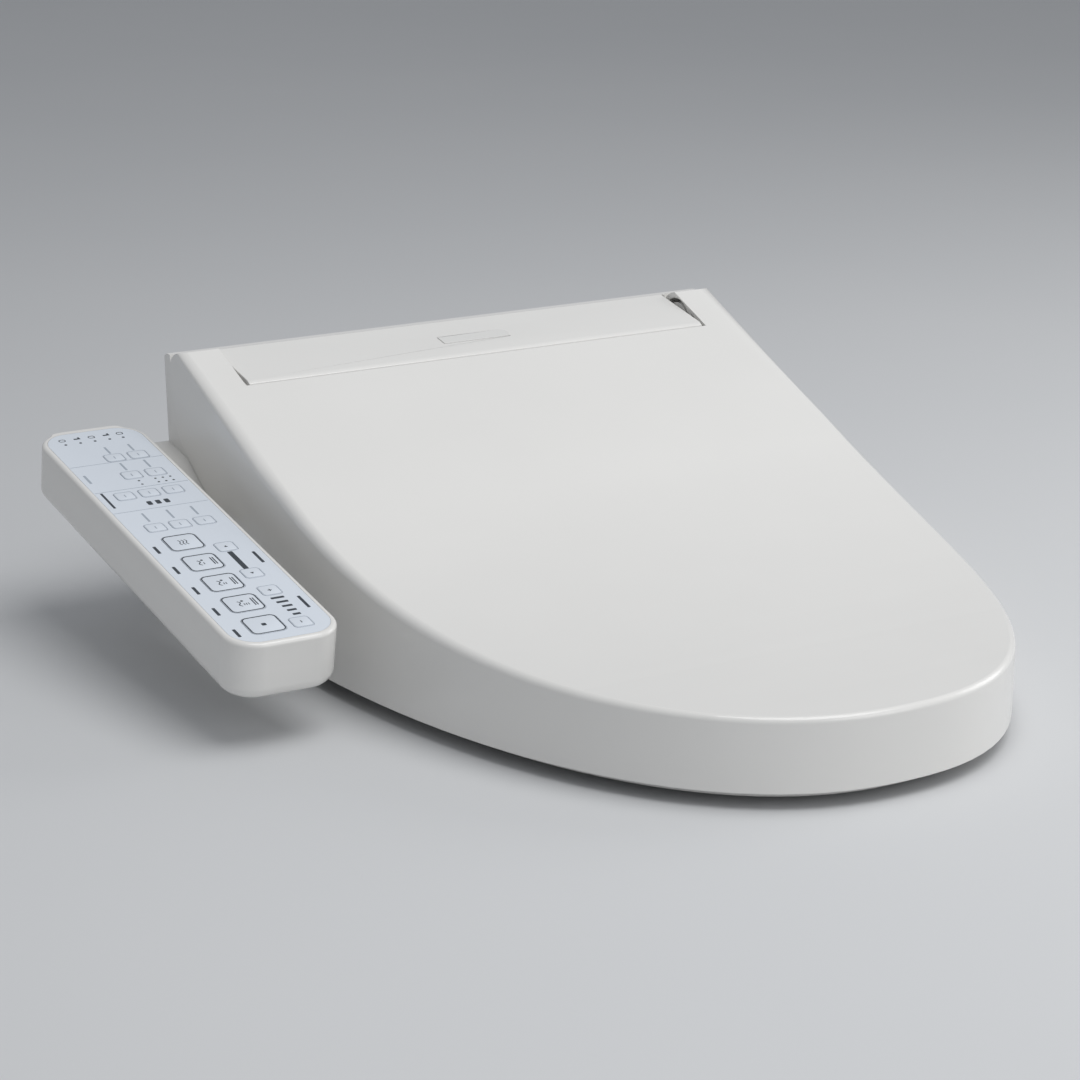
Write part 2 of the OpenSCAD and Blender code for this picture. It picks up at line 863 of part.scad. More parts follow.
module arm_upper() {
    color("white")
        difference() {
            cut_arm_block(0, arm_split, 0);
            cut_arm_block(arm_wall, arm_split - 1, -roof_t);
            arm_frame() {
                arm_block(film_margin, -film_t, 1);
                for (k = keys)
                    key_block(k, 0.35, -roof_t - 1, 1);
            }
        }
}

arm_screws_at = [[-20, 14], [20, 14], [-20, arm_len - 24], [20, arm_len - 24]];
module arm_lower() {
    color("whitesmoke")
        difference() {
            cut_arm_block(0, -arm_h, arm_split);
            difference() {
                cut_arm_block(arm_wall, -arm_h + arm_wall, arm_split + 1);
                arm_frame()
                    for (p = arm_screws_at)
                        rod_z(4.5, p[0], p[1], -arm_h, arm_split + 2);
            }
            arm_frame()
                for (p = arm_screws_at)
                    rod_z(screw_r + 0.1, p[0], p[1], -arm_h - 1, arm_split + 1);
        }
}

module panel_overlay() {
    color("aliceblue")
        arm_frame()
            difference() {
                arm_block(film_margin + 0.2, -film_t, 0);
                for (k = keys)
                    key_block(k, 0.35, -film_t - 1, 1);
            }
}

module control_board() {
    color("seagreen")
        arm_frame()
            intersection() {
                arm_block(arm_wall + 1, board_n - 1.6, board_n);
                box([-arm_w, 0, -arm_h], [arm_w, arm_len - 18, 0]);
            }
}

module arm_screws() {
    color("silver")
        arm_frame()
            for (p = arm_screws_at)
                rod_z(screw_r, p[0], p[1], -arm_h + 1, arm_split - 1);
}

base_case();
top_cover();
top_panel();
badge_plate();
base_feet();
case_screws();
mounting_plate();
release_button();
lid_shell();
lid_bumpers();
hinge_pins();
soft_close_dampers();
seat_top();
seat_base();
seat_heater();
seat_bumpers();
water_tank();
tank_heater();
inlet_valve();
inlet_fitting();
drain_plug();
cord_gland();
wand_guide();
wand();
wand_tip();
wand_motor();
wand_roller();
wand_gate();
dryer_housing();
dryer_impeller();
dryer_motor();
dryer_duct();
dryer_flap();
main_board();
arm_upper();
arm_lower();
panel_overlay();
control_board();
arm_screws();
key(0);  // key_stop
key(1);  // key_rear
key(2);  // key_soft
key(3);  // key_front
key(4);  // key_dryer
key(5);  // key_pressure_down
key(6);  // key_pressure_up
key(7);  // key_position_down
key(8);  // key_position_up
key(9);  // key_row_a_left
key(10);  // key_row_a_right
key(11);  // key_row_b_left
key(12);  // key_row_b_right
key(13);  // key_row_c_left
key(14);  // key_row_c_middle
key(15);  // key_row_c_right
key(16);  // key_row_d_left
key(17);  // key_row_d_middle
key(18);  // key_row_d_right
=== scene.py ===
"""Electric bidet seat: lid, seat, case, wand, dryer and control arm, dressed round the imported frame."""
import bpy
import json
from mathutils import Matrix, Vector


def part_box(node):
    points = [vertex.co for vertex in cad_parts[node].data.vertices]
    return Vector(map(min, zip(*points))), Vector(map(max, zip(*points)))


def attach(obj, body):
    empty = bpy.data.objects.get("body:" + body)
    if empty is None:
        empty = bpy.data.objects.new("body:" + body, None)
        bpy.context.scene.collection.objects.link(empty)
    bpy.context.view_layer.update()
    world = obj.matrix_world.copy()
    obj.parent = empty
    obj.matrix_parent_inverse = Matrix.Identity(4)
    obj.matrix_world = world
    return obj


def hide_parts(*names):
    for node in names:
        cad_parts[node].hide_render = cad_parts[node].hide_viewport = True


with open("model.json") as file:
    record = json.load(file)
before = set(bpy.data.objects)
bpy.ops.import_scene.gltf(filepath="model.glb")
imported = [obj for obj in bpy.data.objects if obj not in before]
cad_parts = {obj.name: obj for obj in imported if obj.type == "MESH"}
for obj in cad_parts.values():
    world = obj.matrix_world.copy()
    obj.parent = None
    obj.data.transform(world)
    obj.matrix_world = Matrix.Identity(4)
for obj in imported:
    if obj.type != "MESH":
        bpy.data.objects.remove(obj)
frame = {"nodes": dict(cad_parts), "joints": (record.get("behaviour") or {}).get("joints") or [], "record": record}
bpy.context.view_layer.update()

import json
import logging
import math
from dataclasses import dataclass, field
from enum import Enum
from typing import Callable, Iterable, Optional, Sequence, Union

import bmesh
from mathutils import Matrix, Vector

log = logging.getLogger("bidet_seat")
MM = 0.001
# How near two points are one, how small a face is dropped, and how many degrees still count as flat
MERGE = 0.000004
TINY = 0.00002
FLAT = 0.4
# Degrees between two faces from which their edge may be rounded by a share of a width
ROUND_FROM = 30
Colour = tuple[float, float, float]
Pair = tuple[float, float]
Edge = bmesh.types.BMEdge
Face = bmesh.types.BMFace


# ---------------------------------------------------------------- shader maths
class Num:
    """A number in a shader: a socket whose arithmetic adds Math nodes."""

    def __init__(self, tree: "Recipe", socket: bpy.types.NodeSocket) -> None:
        """Wraps a socket of a recipe's tree.

        Args:
            tree: the recipe that the socket is in.
            socket: the output that gives the number.
        """
        self.tree = tree
        self.socket = socket

    def _math(self, operation: str, *values: Union["Num", float]) -> "Num":
        """Adds one Math node on these values.

        Args:
            operation: the Math node's operation.
            values: its inputs in order.

        Returns:
            The node's result.
        """
        return self.tree.node("ShaderNodeMath", {"operation": operation}, dict(enumerate(values)))

    def __add__(self, other: Union["Num", float]) -> "Num":
        """self + other.

        Args:
            other: the number to add.

        Returns:
            The sum.
        """
        return self._math("ADD", self, other)

    __radd__ = __add__

    def __mul__(self, other: Union["Num", float]) -> "Num":
        """self * other.

        Args:
            other: the factor.

        Returns:
            The product.
        """
        return self._math("MULTIPLY", self, other)

    __rmul__ = __mul__

    def __sub__(self, other: Union["Num", float]) -> "Num":
        """self - other.

        Args:
            other: the number to take away.

        Returns:
            The difference.
        """
        return self._math("SUBTRACT", self, other)

    def __rsub__(self, other: float) -> "Num":
        """other - self.

        Args:
            other: the number to take this from.

        Returns:
            The difference.
        """
        return self._math("SUBTRACT", other, self)

    def power(self, exponent: float) -> "Num":
        """self to a power.

        Args:
            exponent: the power.

        Returns:
            The result.
        """
        return self._math("POWER", self, exponent)

    def within(self, low: float, high: float) -> "Num":
        """self limited to a range.

        Args:
            low: lowest value.
            high: highest value.

        Returns:
            The limited number.
        """
        return self._math("MINIMUM", self._math("MAXIMUM", self, low), high)


class Recipe:
    """A material being written: adds nodes and joins them."""

    def __init__(self, name: str) -> None:
        """Starts an empty material with one shader.

        Args:
            name: the material's name.
        """
        self.material = bpy.data.materials.new(name)
        self.material.use_nodes = True
        self.nodes = self.material.node_tree.nodes
        self.links = self.material.node_tree.links
        self.nodes.clear()
        self.output = self.nodes.new("ShaderNodeOutputMaterial")
        self.shader = self.nodes.new("ShaderNodeBsdfPrincipled")
        self.links.new(self.shader.outputs[0], self.output.inputs[0])
        self.place = self.node("ShaderNodeTexCoord", {}, {}, output="Object").socket

    def node(self, kind: str, settings: dict, inputs: dict, output: Union[int, str] = 0) -> Num:
        """Adds a node.

        Args:
            kind: the node's type.
            settings: attributes set before its sockets.
            inputs: socket name or number to a value, socket or Num.
            output: which output is wanted.

        Returns:
            The wanted output, ready for arithmetic.
        """
        made = self.nodes.new(kind)
        for key, value in settings.items():
            setattr(made, key, value)
        for key, value in inputs.items():
            source = value.socket if isinstance(value, Num) else value
            if isinstance(source, bpy.types.NodeSocket):
                self.links.new(source, made.inputs[key])
            else:
                made.inputs[key].default_value = source
        return Num(self, made.outputs[output])

    def noise(self, scale: float, detail: float = 4.0, stretch: Sequence[float] = (1.0, 1.0, 1.0)) -> Num:
        """Noise over the piece, 0 to 1, with its grain stretched along the axes.

        Args:
            scale: how fine it is.
            detail: its octaves.
            stretch: scale along each axis.

        Returns:
            The noise.
        """
        mapped = self.node("ShaderNodeMapping", {}, {"Vector": self.place, "Scale": tuple(stretch)})
        return self.node("ShaderNodeTexNoise", {}, {"Vector": mapped, "Scale": scale, "Detail": detail},
                         output="Fac")

    def blend(self, amount: Union[Num, float], first: Union[Colour, Num], second: Union[Colour, Num]) -> Num:
        """Mixes two colours.

        Args:
            amount: share of the second.
            first: a colour.
            second: a colour.

        Returns:
            The mixed colour.
        """
        made = self.nodes.new("ShaderNodeMix")
        made.data_type = "RGBA"
        for number, value in ((0, amount), (6, first), (7, second)):
            if isinstance(value, Num):
                self.links.new(value.socket, made.inputs[number])
            else:
                made.inputs[number].default_value = (*value, 1.0) if number else value
        return Num(self, made.outputs[2])

    def painted_edge_highlight(self) -> Num:
        """How much a place is a proud edge, 0 to 1, used for a painted highlight along edges.

        Returns:
            The share of painted edge highlight.
        """
        point = self.node("ShaderNodeNewGeometry", {}, {}, output="Pointiness")
        return ((point - 0.5) * 9.0).within(0.0, 1.0)

    def vary(self, socket: str, value: Num) -> None:
        """Feeds a socket of the shader with something that changes over the surface.

        Args:
            socket: name of the input.
            value: what it gets.
        """
        self.links.new(value.socket, self.shader.inputs[socket])

    def fixed(self, **values: Union[float, Sequence[float]]) -> None:
        """Sets sockets of the shader that are the same all over.

        Args:
            values: input names, with _ for a space, to values.
        """
        for key, value in values.items():
            self.shader.inputs[key.replace("_", " ")].default_value = value

    def bump(self, height: Num, depth: float, strength: float = 1.0) -> None:
        """Gives the surface relief of a depth in metres.

        Args:
            height: the relief, 0 to 1.
            depth: its depth in metres.
            strength: its share.
        """
        normal = self.node("ShaderNodeBump", {}, {"Height": height, "Distance": depth, "Strength": strength},
                           output="Normal")
        self.vary("Normal", normal)


# ---------------------------------------------------------------- finishes
@dataclass(frozen=True)
class MouldedPlastic:
    """Moulded plastic: a tint that drifts, polish that varies, a faint skin and edges made paler by a painted
    highlight.
    """

    name: str
    tint: Colour
    polish: float
    grain: float = 900.0
    depth: float = 0.00001
    coat: float = 0.0

    def make(self) -> bpy.types.Material:
        """Writes the material.

        Returns:
            The material.
        """
        recipe = Recipe(self.name)
        drift = recipe.noise(9.0, 3.0)
        fleck = recipe.noise(self.grain, 2.0)
        deep = tuple(c * 0.955 for c in self.tint)
        base = recipe.blend(drift, deep, self.tint)
        # Paler colour on proud edges: a painted highlight along the edges
        edge = tuple(min(1.0, c * 1.05 + 0.01) for c in self.tint)
        recipe.vary("Base Color", recipe.blend(recipe.painted_edge_highlight() * 0.55, base, edge))
        recipe.vary("Roughness", (drift - 0.5) * 0.07 + (fleck - 0.5) * 0.06 + self.polish)
        recipe.fixed(IOR=1.49, Coat_Weight=self.coat, Coat_Roughness=0.08)
        recipe.bump(fleck, self.depth)
        return recipe.material


@dataclass(frozen=True)
class Rubber:
    """Soft rubber: matt, dusty in its hollows, with a fine tooth."""

    name: str
    tint: Colour

    def make(self) -> bpy.types.Material:
        """Writes the material.

        Returns:
            The material.
        """
        recipe = Recipe(self.name)
        dust = recipe.noise(60.0, 6.0)
        tooth = recipe.noise(1500.0, 2.0)
        dusty = tuple(c * 0.7 + 0.08 for c in self.tint)
        recipe.vary("Base Color", recipe.blend(dust.power(2.0), self.tint, dusty))
        recipe.vary("Roughness", tooth * 0.2 + 0.62)
        recipe.fixed(IOR=1.5)
        recipe.bump(tooth, 0.00003)
        return recipe.material


@dataclass(frozen=True)
class Metal:
    """Metal with drawn lines along one axis and a little tarnish."""

    name: str
    tint: Colour
    polish: float
    lines: Sequence[float] = (1.0, 30.0, 30.0)

    def make(self) -> bpy.types.Material:
        """Writes the material.

        Returns:
            The material.
        """
        recipe = Recipe(self.name)
        drawn = recipe.noise(90.0, 4.0, self.lines)
        tarnish = recipe.noise(35.0, 5.0)
        dull = tuple(c * 0.78 for c in self.tint)
        recipe.vary("Base Color", recipe.blend(tarnish * 0.6, self.tint, dull))
        recipe.vary("Roughness", drawn * 0.16 + tarnish * 0.08 + self.polish)
        recipe.fixed(Metallic=1.0)
        recipe.bump(drawn, 0.00002)
        return recipe.material


@dataclass(frozen=True)
class CircuitBoard:
    """Solder mask with tracks and speckles of bare pads."""

    name: str

    def make(self) -> bpy.types.Material:
        """Writes the material.

        Returns:
            The material.
        """
        recipe = Recipe(self.name)
        cells = recipe.node("ShaderNodeTexVoronoi", {"feature": "DISTANCE_TO_EDGE"},
                            {"Vector": recipe.place, "Scale": 210.0}, output="Distance")
        tracks = (1.0 - cells * 9.0).within(0.0, 1.0)
        pads = recipe.node("ShaderNodeTexVoronoi", {}, {"Vector": recipe.place, "Scale": 420.0},
                           output="Distance")
        tinned = ((0.16 - pads) * 30.0).within(0.0, 1.0)
        mask = recipe.blend(tracks, (0.012, 0.11, 0.05), (0.04, 0.22, 0.10))
        recipe.vary("Base Color", recipe.blend(tinned, mask, (0.72, 0.71, 0.66)))
        recipe.vary("Roughness", tinned * -0.1 + 0.38)
        recipe.bump(tracks + tinned, 0.00004)
        return recipe.material


@dataclass(frozen=True)
class Print:
    """Printed ink: even, satin, with a slightly broken edge tone."""

    name: str
    tint: Colour

    def make(self) -> bpy.types.Material:
        """Writes the material.

        Returns:
            The material.
        """
        recipe = Recipe(self.name)
        fade = recipe.noise(700.0, 3.0)
        pale = tuple(min(1.0, c * 1.35 + 0.01) for c in self.tint)
        recipe.vary("Base Color", recipe.blend(fade, self.tint, pale))
        recipe.vary("Roughness", fade * 0.12 + 0.36)
        recipe.bump(fade, 0.000004)
        return recipe.material


class Finish(Enum):
    """The finishes of the object, each with the record's slot that it stands for."""

    SHELL = "gloss_shell"
    CASE = "case_plastic"
    PLATE = "plate_plastic"
    GREY = "grey_plastic"
    BLACK = "black_plastic"
    BADGE = "badge"
    RUBBER_DARK = "rubber_dark"
    RUBBER_GREY = "rubber_grey"
    STEEL = "steel"
    COPPER = "copper"
    BRASS = "brass"
    HEATER = "heater_film"
    TANK = "tank_plastic"
    BOARD = "board_green"
    FILM = "film"
    KEY = "key_cap"
    INK = "ink"
    HAIRLINE = "hairline"


RECIPES = {
    Finish.SHELL: MouldedPlastic("warm_white_gloss", (0.80, 0.79, 0.765), 0.24, 700.0, 0.000006, 0.25),
    Finish.CASE: MouldedPlastic("warm_white_satin", (0.72, 0.71, 0.69), 0.42, 1400.0, 0.00003),
    Finish.PLATE: MouldedPlastic("plate_grey", (0.30, 0.30, 0.31), 0.5, 1300.0, 0.00004),
    Finish.GREY: MouldedPlastic("inner_grey", (0.52, 0.53, 0.54), 0.45, 1200.0, 0.00003),
    Finish.BLACK: MouldedPlastic("inner_black", (0.035, 0.036, 0.04), 0.45, 1200.0, 0.00003),
    Finish.BADGE: MouldedPlastic("badge_pale", (0.74, 0.735, 0.715), 0.3, 1800.0, 0.000008),
    Finish.RUBBER_DARK: Rubber("rubber_black", (0.028, 0.028, 0.03)),
    Finish.RUBBER_GREY: Rubber("rubber_bumper", (0.20, 0.20, 0.21)),
    Finish.STEEL: Metal("drawn_steel", (0.66, 0.66, 0.67), 0.24),
    Finish.COPPER: Metal("copper_sheath", (0.80, 0.42, 0.26), 0.26),
    Finish.BRASS: Metal("turned_brass", (0.78, 0.60, 0.30), 0.22, (30.0, 30.0, 1.0)),
    Finish.HEATER: MouldedPlastic("amber_film", (0.62, 0.27, 0.05), 0.3, 600.0),
    Finish.TANK: MouldedPlastic("milky_tank", (0.60, 0.65, 0.70), 0.38, 900.0, 0.00002),
    Finish.BOARD: CircuitBoard("circuit_board"),
    Finish.FILM: MouldedPlastic("cool_film", (0.715, 0.765, 0.83), 0.34, 2200.0, 0.000004),
    Finish.KEY: MouldedPlastic("cool_key", (0.725, 0.775, 0.84), 0.32, 2200.0, 0.000004),
    Finish.INK: Print("panel_ink", (0.028, 0.036, 0.046)),
    Finish.HAIRLINE: Print("panel_hairline", (0.32, 0.36, 0.41)),
}


class Paints:
    """Makes each finish once and gives it out."""

    def __init__(self) -> None:
        """Starts with no material made."""
        self.made: dict[Finish, bpy.types.Material] = {}

    def get(self, finish: Finish) -> bpy.types.Material:
        """The material of a finish.

        Args:
            finish: what the surface is like.

        Returns:
            Its material.
        """
        if finish not in self.made:
            self.made[finish] = RECIPES[finish].make()
        return self.made[finish]

    def dress(self, obj: bpy.types.Object, finish: Finish) -> bpy.types.Object:
        """Gives an object one finish all over.

        Args:
            obj: the object.
            finish: what the surface is like.

        Returns:
            The same object.
        """
        obj.data.materials.clear()
        obj.data.materials.append(self.get(finish))
        return obj


PAINTS = Paints()


# ---------------------------------------------------------------- modelling steps
class Bench:
    """The modelling steps that all pieces share."""

    @staticmethod
    def only(obj: bpy.types.Object) -> None:
        """Selects one object and nothing else.

        Args:
            obj: the object.
        """
        if bpy.context.object and bpy.context.object.mode != "OBJECT":
            bpy.ops.object.mode_set(mode="OBJECT")
        bpy.ops.object.select_all(action="DESELECT")
        obj.select_set(True)
        bpy.context.view_layer.objects.active = obj

    @staticmethod
    def pick(obj: bpy.types.Object, kind: str, test: Callable) -> None:
        """Selects the faces or edges of an object in edit mode that pass a test, and nothing else.

        Args:
            obj: the object in edit mode.
            kind: edges or faces.
            test: True for what is wanted.
        """
        bpy.ops.mesh.select_mode(type="EDGE" if kind == "edges" else "FACE")
        bpy.ops.mesh.select_all(action="DESELECT")
        mesh = bmesh.from_edit_mesh(obj.data)
        for item in getattr(mesh, kind):
            if test(item):
                item.select_set(True)
        bmesh.update_edit_mesh(obj.data)

    @staticmethod
    def apply(obj: bpy.types.Object, kind: str, **settings: object) -> None:
        """Adds a modifier with its settings and applies it.

        Args:
            obj: the object.
            kind: the modifier's type.
            settings: its settings.
        """
        Bench.only(obj)
        modifier = obj.modifiers.new(kind.lower(), kind)
        for key, value in settings.items():
            setattr(modifier, key, value)
        bpy.ops.object.modifier_apply(modifier=modifier.name)

    @staticmethod
    def smooth(obj: bpy.types.Object, angle: float = 32.0) -> None:
        """Shades an object smooth, with edges over an angle kept crisp.

        Args:
            obj: the object.
            angle: degrees from which an edge stays crisp.
        """
        Bench.only(obj)
        bpy.ops.object.shade_smooth_by_angle(angle=math.radians(angle))

    @staticmethod
    def cast(node: str, name: str) -> bpy.types.Object:
        """A clean solid on a CAD node's own surface, with its flat faces whole, to be worked on.

        Args:
            node: the CAD node.
            name: the copy's name.

        Returns:
            The copy.
        """
        source = frame["nodes"][node]
        obj = bpy.data.objects.new(name, source.data.copy())
        bpy.context.scene.collection.objects.link(obj)
        obj.data.materials.clear()
        Bench.only(obj)
        bpy.ops.object.mode_set(mode="EDIT")
        bpy.ops.mesh.select_all(action="SELECT")
        bpy.ops.mesh.remove_doubles(threshold=MERGE)
        bpy.ops.mesh.dissolve_limited(angle_limit=math.radians(FLAT))
        bpy.ops.object.mode_set(mode="OBJECT")
        return obj

    @staticmethod
    def even_shading(obj: bpy.types.Object, angle: float = 32.0) -> None:
        """Shades an object smooth with its large flat faces kept flat.

        Args:
            obj: the object.
            angle: degrees from which an edge stays crisp.
        """
        Bench.smooth(obj, angle)
        Bench.apply(obj, "WEIGHTED_NORMAL", mode="FACE_AREA", weight=50, keep_sharp=True)

    @staticmethod
    def soften(obj: bpy.types.Object, width: float, segments: int = 3, angle: float = 38.0) -> None:
        """Rounds every edge sharper than an angle.

        Args:
            obj: the object.
            width: radius.
            segments: steps of each rounding.
            angle: degrees from which an edge is rounded.
        """
        Bench.apply(obj, "BEVEL", width=width, segments=segments, limit_method="ANGLE",
                    angle_limit=math.radians(angle), use_clamp_overlap=True, miter_outer="MITER_ARC")
        Bench.even_shading(obj)

    @staticmethod
    def round_edges(obj: bpy.types.Object, width: float, segments: int, share: Callable) -> int:
        """Rounds chosen edges by a share of a width.

        Args:
            obj: the object.
            width: radius at a share of 1.
            segments: steps of each rounding.
            share: gives 0 to 1 for an edge and its two faces, highest face first.

        Returns:
            How many edges were rounded.
        """
        mesh = bmesh.new()
        mesh.from_mesh(obj.data)
        layer = mesh.edges.layers.float.new("bevel_weight_edge")
        count = 0
        for edge in mesh.edges:
            if len(edge.link_faces) == 2 and edge.is_convex:
                faces = sorted(edge.link_faces, key=lambda f: -f.normal.z)
                if faces[0].normal.angle(faces[1].normal, 0.0) > math.radians(ROUND_FROM):
                    edge[layer] = share(edge, *faces)
                    count += edge[layer] > 0
        mesh.to_mesh(obj.data)
        mesh.free()
        Bench.apply(obj, "BEVEL", width=width, segments=segments, limit_method="WEIGHT",
                    use_clamp_overlap=False, loop_slide=False)
        Bench.only(obj)
        bpy.ops.object.mode_set(mode="EDIT")
        bpy.ops.mesh.select_all(action="SELECT")
        bpy.ops.mesh.remove_doubles(threshold=TINY)
        bpy.ops.mesh.dissolve_degenerate(threshold=TINY)
        bpy.ops.object.mode_set(mode="OBJECT")
        weights = obj.data.attributes.get("bevel_weight_edge")
        if weights:
            obj.data.attributes.remove(weights)
        Bench.even_shading(obj)
        return count

    @staticmethod
    def slab(name: str, low: Sequence[float], high: Sequence[float], corner: float,
             rim: float = 0.0, foot: float = 0.0, steps: int = 10) -> bpy.types.Object:
        """A slab with round corners in plan, and round upper and lower edges.

        Args:
            name: the object's name.
            low: its lowest corner.
            high: its highest corner.
            corner: radius of the four upright edges.
            rim: radius of the upper edge.
            foot: radius of the lower edge.
            steps: segments of each round corner.

        Returns:
            The slab.
        """
        centre = [(a + b) / 2 for a, b in zip(low, high)]
        bpy.ops.object.select_all(action="DESELECT")
        bpy.ops.mesh.primitive_cube_add(size=1.0, location=centre, scale=[b - a for a, b in zip(low, high)])
        obj = bpy.context.object
        obj.name = name
        bpy.ops.object.transform_apply(location=True, rotation=True, scale=True)
        bpy.ops.object.mode_set(mode="EDIT")
        if corner > 0:
            half = (high[2] - low[2]) / 2
            Bench.pick(obj, "edges", lambda e: abs(e.verts[0].co.z - e.verts[1].co.z) > half)
            bpy.ops.mesh.bevel(offset=corner, segments=steps, affect="EDGES")
        for radius, level in ((rim, high[2]), (foot, low[2])):
            if radius > 0:
                Bench.pick(obj, "edges", lambda e: all(abs(v.co.z - level) < 1e-7 for v in e.verts))
                bpy.ops.mesh.bevel(offset=radius, segments=5, affect="EDGES", clamp_overlap=True)
        bpy.ops.mesh.select_all(action="SELECT")
        bpy.ops.mesh.normals_make_consistent(inside=False)
        bpy.ops.object.mode_set(mode="OBJECT")
        Bench.smooth(obj)
        return obj

    @staticmethod
    def hoop(name: str, size: Pair, at: Pair, corner: float, stroke: float, z: float,
             rise: float) -> bpy.types.Object:
        """A printed outline: a closed band of a stroke's width round a rectangle with round corners.

        Args:
            name: the object's name.
            size: outer size.
            at: its middle.
            corner: corner radius.
            stroke: the band's width.
            z: level of its foot.
            rise: its height.

        Returns:
            The band.
        """
        bpy.ops.object.select_all(action="DESELECT")
        bpy.ops.mesh.primitive_plane_add(size=1.0, location=(*at, z))
        obj = bpy.context.object
        obj.name = name
        obj.scale = (*size, 1.0)
        bpy.ops.object.transform_apply(location=True, rotation=True, scale=True)
        bpy.ops.object.mode_set(mode="EDIT")
        bpy.ops.mesh.select_all(action="SELECT")
        bpy.ops.mesh.bevel(offset=corner, segments=7, affect="VERTICES")
        bpy.ops.mesh.select_all(action="SELECT")
        bpy.ops.mesh.inset(thickness=stroke, depth=0.0)
        bpy.ops.mesh.delete(type="ONLY_FACE")
        bpy.ops.mesh.select_all(action="SELECT")
        bpy.ops.mesh.extrude_region_move(TRANSFORM_OT_translate={"value": (0, 0, rise)})
        bpy.ops.mesh.select_all(action="SELECT")
        bpy.ops.mesh.normals_make_consistent(inside=False)
        bpy.ops.object.mode_set(mode="OBJECT")
        return obj

    @staticmethod
    def disc(name: str, at: Pair, radius: float, z: float, rise: float, sides: int = 24,
             turn: float = 0.0) -> bpy.types.Object:
        """A low printed dot, or a triangle with 3 sides.

        Args:
            name: the object's name.
            at: its middle.
            radius: its radius.
            z: level of its foot.
            rise: its height.
            sides: number of sides.
            turn: turn about its axis, in radians.

        Returns:
            The dot.
        """
        bpy.ops.object.select_all(action="DESELECT")
        bpy.ops.mesh.primitive_cylinder_add(vertices=sides, radius=radius, depth=rise,
                                            location=(*at, z + rise / 2), rotation=(0, 0, turn))
        obj = bpy.context.object
        obj.name = name
        bpy.ops.object.transform_apply(location=True, rotation=True, scale=True)
        return obj

    @staticmethod
    def wave(name: str, at: Pair, length: float, swing: float, stroke: float, z: float,
             rise: float) -> bpy.types.Object:
        """A wavy printed line that runs up the panel.

        Args:
            name: the object's name.
            at: its middle.
            length: its length.
            swing: how far it swings.
            stroke: its width.
            z: level of its foot.
            rise: its height.

        Returns:
            The line.
        """
        steps = 14
        bpy.ops.object.select_all(action="DESELECT")
        bpy.ops.mesh.primitive_grid_add(x_subdivisions=1, y_subdivisions=steps, size=1.0, location=(0, 0, 0))
        obj = bpy.context.object
        obj.name = name
        for v in obj.data.vertices:
            along = v.co.y
            v.co = (at[0] + v.co.x * stroke + swing * math.sin(along * math.tau * 1.25),
                    at[1] + along * length, z)
        bpy.ops.object.mode_set(mode="EDIT")
        bpy.ops.mesh.select_all(action="SELECT")
        bpy.ops.mesh.extrude_region_move(TRANSFORM_OT_translate={"value": (0, 0, rise)})
        bpy.ops.mesh.select_all(action="SELECT")
        bpy.ops.mesh.normals_make_consistent(inside=False)
        bpy.ops.object.mode_set(mode="OBJECT")
        return obj

    @staticmethod
    def join(name: str, pieces: Sequence[bpy.types.Object]) -> bpy.types.Object:
        """Joins pieces into one object.

        Args:
            name: the joined object's name.
            pieces: what is joined.

        Returns:
            The joined object.
        """
        Bench.only(pieces[0])
        for piece in pieces[1:]:
            piece.select_set(True)
        bpy.ops.object.join()
        obj = bpy.context.object
        obj.name = name
        return obj

    @staticmethod
    def finish(obj: bpy.types.Object, body: str, finish: Optional[Finish], slot: str,
               nodes: Iterable[str] = ()) -> bpy.types.Object:
        """Dresses a piece, rides it on a body and hides the CAD nodes that it stands for.

        Args:
            obj: the piece.
            body: the body it rides on.
            finish: its finish, or None if dressed.
            slot: the record's slot; not used.
            nodes: CAD nodes that it stands for.

        Returns:
            The piece.
        """
        if finish:
            PAINTS.dress(obj, finish)
        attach(obj, body)
        if nodes:
            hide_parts(*nodes)
        log.info("%s on %s: %d faces", obj.name, body, len(obj.data.polygons))
        return obj


def body_with(node: str) -> str:
    """The body that a CAD node belongs to.

    Args:
        node: a CAD node.

    Returns:
        The name of its body.
    """
    for body, members in frame["record"]["behaviour"]["bodies"].items():
        if node in members:
            return body
    raise KeyError(node)


def slot_of(node: str) -> str:
    """The record's material slot of a CAD node.

    Args:
        node: a CAD node.

    Returns:
        The name of its slot.
    """
    return next(s["material_slot"] for s in frame["record"]["subparts"] if s["node"] == node)


